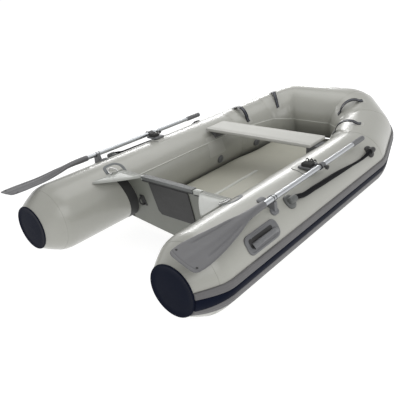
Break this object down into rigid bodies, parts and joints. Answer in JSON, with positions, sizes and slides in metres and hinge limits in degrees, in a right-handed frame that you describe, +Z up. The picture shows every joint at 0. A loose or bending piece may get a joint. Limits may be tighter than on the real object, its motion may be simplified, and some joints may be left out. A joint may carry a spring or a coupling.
{
  "type": "inflatable dinghy",
  "caption": "Open inflatable dinghy with round air tubes, raked bow, board transom with motor pad, air floor, plank seat, lifelines and stowed oars in swinging oarlocks.",
  "frame": {"origin": "under the middle of the overall length and beam, at the lowest point of the keel", "axes": "+X to starboard, +Y to the bow, +Z up"},
  "size_m": [1.545, 2.7036, 0.607],
  "materials": {
    "pvc_light": "semi-gloss coated fabric",
    "pvc_navy": "semi-gloss",
    "strake_grey": "matte ribbed moulding",
    "keel_pvc": "semi-gloss coated fabric",
    "floor_cream": "matte coated fabric",
    "board_white": "painted, semi-gloss",
    "patch_light": "semi-gloss",
    "charcoal": "matte",
    "rail_grey": "matte",
    "fitting_grey": "matte",
    "blade_grey": "satin",
    "anodised": "anodised satin",
    "seat_white": "painted, semi-gloss",
    "stainless": "polished",
    "black_web": "matte woven"
  },
  "bodies": {
    "hull": {"bow_front": "pvc_light", "bow_baffle": "pvc_light", "hull_bottom": "pvc_light", "port_side_tube": "pvc_light", "port_bow_quarter": "pvc_light", "port_bow_corner": "pvc_light", "port_stern_cone": "pvc_light", "starboard_side_tube": "pvc_light", "starboard_bow_quarter": "pvc_light", "starboard_bow_corner": "pvc_light", "starboard_stern_cone": "pvc_light", "port_end_cap": "pvc_navy", "starboard_end_cap": "pvc_navy", "rubbing_strake": "strake_grey", "keel_tube": "keel_pvc", "air_floor": "floor_cream", "transom_board": "board_white", "port_gusset": "board_white", "starboard_gusset": "board_white", "port_oarlock_base": "patch_light", "starboard_oarlock_base": "patch_light", "motor_pad": "charcoal", "port_towing_eye": "charcoal", "starboard_towing_eye": "charcoal", "transom_cap": "rail_grey", "port_seat_bracket": "fitting_grey", "port_carry_handle": "fitting_grey", "port_aft_rope_fitting": "fitting_grey", "port_fore_rope_fitting": "fitting_grey", "port_oar_clip": "fitting_grey", "starboard_seat_bracket": "fitting_grey", "starboard_carry_handle": "fitting_grey", "starboard_aft_rope_fitting": "fitting_grey", "starboard_fore_rope_fitting": "fitting_grey", "starboard_oar_clip": "fitting_grey", "port_lifeline": "black_web", "port_aft_grab_strap": "black_web", "port_fore_grab_strap": "black_web", "starboard_lifeline": "black_web", "starboard_aft_grab_strap": "black_web", "starboard_fore_grab_strap": "black_web"},
    "seat": {"seat_plank": "seat_white"},
    "port_valve_cap": {"port_valve": "fitting_grey"},
    "starboard_valve_cap": {"starboard_valve": "fitting_grey"},
    "keel_valve_cap": {"keel_valve": "fitting_grey"},
    "drain_plug": {"drain_plug": "charcoal"},
    "port_oarlock": {"port_oarlock_block": "fitting_grey"},
    "port_oar": {"port_oar_collar": "fitting_grey", "port_oar_shaft": "anodised", "port_oar_grip": "fitting_grey", "port_oar_blade": "blade_grey"},
    "port_knob": {"port_lock_knob": "charcoal"},
    "port_ring": {"port_lifting_ring": "stainless"},
    "starboard_oarlock": {"starboard_oarlock_block": "fitting_grey"},
    "starboard_oar": {"starboard_oar_collar": "fitting_grey", "starboard_oar_shaft": "anodised", "starboard_oar_grip": "fitting_grey", "starboard_oar_blade": "blade_grey"},
    "starboard_knob": {"starboard_lock_knob": "charcoal"},
    "starboard_ring": {"starboard_lifting_ring": "stainless"}
  },
  "joints": [
    {"name": "port_oar_swing", "type": "hinge", "parent": "hull", "child": "port_oarlock", "pos_m": [-0.6, -0.2057, 0.5039], "axis": [0, 0, -1], "range_deg": [0, 130]},
    {"name": "port_oar_lift", "type": "hinge", "parent": "port_oarlock", "child": "port_oar", "pos_m": [-0.68, -0.1858, 0.5039], "axis": [-1, 0, 0], "range_deg": [0, 3.5]},
    {"name": "port_knob_turn", "type": "hinge", "parent": "port_oar", "child": "port_knob", "pos_m": [-0.6991, -0.1858, 0.5019], "axis": [-0.9945, 0, -0.1045], "continuous": true},
    {"name": "port_ring_fold", "type": "hinge", "parent": "hull", "child": "port_ring", "pos_m": [-0.423, -0.7657, 0.4544], "axis": [0, -1, 0], "range_deg": [-155, 0]},
    {"name": "starboard_oar_swing", "type": "hinge", "parent": "hull", "child": "starboard_oarlock", "pos_m": [0.6, -0.2057, 0.5039], "axis": [0, 0, 1], "range_deg": [0, 130]},
    {"name": "starboard_oar_lift", "type": "hinge", "parent": "starboard_oarlock", "child": "starboard_oar", "pos_m": [0.68, -0.1858, 0.5039], "axis": [-1, 0, 0], "range_deg": [0, 3.5]},
    {"name": "starboard_knob_turn", "type": "hinge", "parent": "starboard_oar", "child": "starboard_knob", "pos_m": [0.6991, -0.1858, 0.5019], "axis": [0.9945, 0, -0.1045], "continuous": true},
    {"name": "starboard_ring_fold", "type": "hinge", "parent": "hull", "child": "starboard_ring", "pos_m": [0.423, -0.7657, 0.4544], "axis": [0, 1, 0], "range_deg": [-155, 0]},
    {"name": "port_valve_turn", "type": "hinge", "parent": "hull", "child": "port_valve_cap", "pos_m": [-0.354, 0.1932, 0.2362], "axis": [0.9781, 0, -0.2079], "continuous": true},
    {"name": "starboard_valve_turn", "type": "hinge", "parent": "hull", "child": "starboard_valve_cap", "pos_m": [0.354, 0.1932, 0.2362], "axis": [-0.9781, 0, -0.2079], "continuous": true},
    {"name": "keel_valve_turn", "type": "hinge", "parent": "hull", "child": "keel_valve_cap", "pos_m": [-0.3199, 0.6337, 0.2433], "axis": [0.9379, -0.2233, -0.2654], "continuous": true},
    {"name": "drain_plug_turn", "type": "hinge", "parent": "hull", "child": "drain_plug", "pos_m": [0.3, -0.6258, 0.1589], "axis": [0, 0.963, 0.2696], "continuous": true},
    {"name": "seat_lift_out", "type": "slide", "parent": "hull", "child": "seat", "axis": [0, 0, 1], "range_m": [0, 0.12]}
  ]
}
